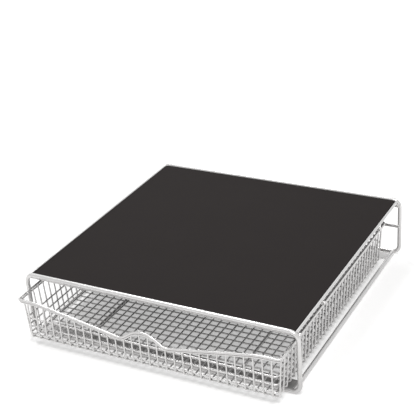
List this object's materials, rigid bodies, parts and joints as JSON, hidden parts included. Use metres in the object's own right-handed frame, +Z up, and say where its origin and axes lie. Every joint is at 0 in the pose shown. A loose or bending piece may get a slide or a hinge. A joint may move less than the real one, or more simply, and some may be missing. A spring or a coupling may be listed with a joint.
{
  "type": "coffee pod drawer",
  "caption": "Low wire stand with a flat dark non-slip top for a coffee maker, and a wire mesh drawer for coffee pods that slides out at the front.",
  "frame": {"origin": "centre of the stand's footprint, on the worktop that it stands on", "axes": "+X to the right as seen from in front of the drawer, +Y to the back, +Z up; the drawer opens along -Y"},
  "size_m": [0.344, 0.3574, 0.079],
  "materials": {
    "stand_wire": "light silver-grey powder coat on round steel wire, satin",
    "rim_wire": "light silver-grey powder coat on round steel wire, satin",
    "mesh_wire": "light silver-grey powder coat on thin round steel wire, satin",
    "base_strip": "light silver-grey powder coat on flat steel strip, satin",
    "top_board": "thin black-painted fibreboard, matte",
    "non_slip_sheet": "very dark warm grey, matte, finely textured"
  },
  "bodies": {
    "stand": {"front_hoop": "stand_wire", "rear_hoop": "stand_wire", "left_top_rail": "stand_wire", "right_top_rail": "stand_wire", "left_bottom_rail": "stand_wire", "right_bottom_rail": "stand_wire", "rear_stop_wire": "stand_wire", "left_slide_rail": "stand_wire", "right_slide_rail": "stand_wire", "front_base_strip": "base_strip", "rear_base_strip": "base_strip", "front_panel_support": "stand_wire", "rear_panel_support": "stand_wire", "front_edge_wire": "stand_wire", "rear_edge_wire": "stand_wire", "top_board": "top_board", "non_slip_mat": "non_slip_sheet"},
    "drawer": {"drawer_rim": "rim_wire", "lower_rim_wire": "mesh_wire", "front_uprights": "mesh_wire", "rear_uprights": "mesh_wire", "left_uprights": "mesh_wire", "right_uprights": "mesh_wire", "floor_long_wires": "mesh_wire", "floor_cross_wires": "mesh_wire", "lower_ring": "mesh_wire", "middle_ring": "mesh_wire", "upper_ring": "mesh_wire"}
  },
  "joints": [
    {"name": "drawer_slide", "type": "slide", "parent": "stand", "child": "drawer", "axis": [0, -1, 0], "range_m": [-0.0284, 0.2]}
  ]
}
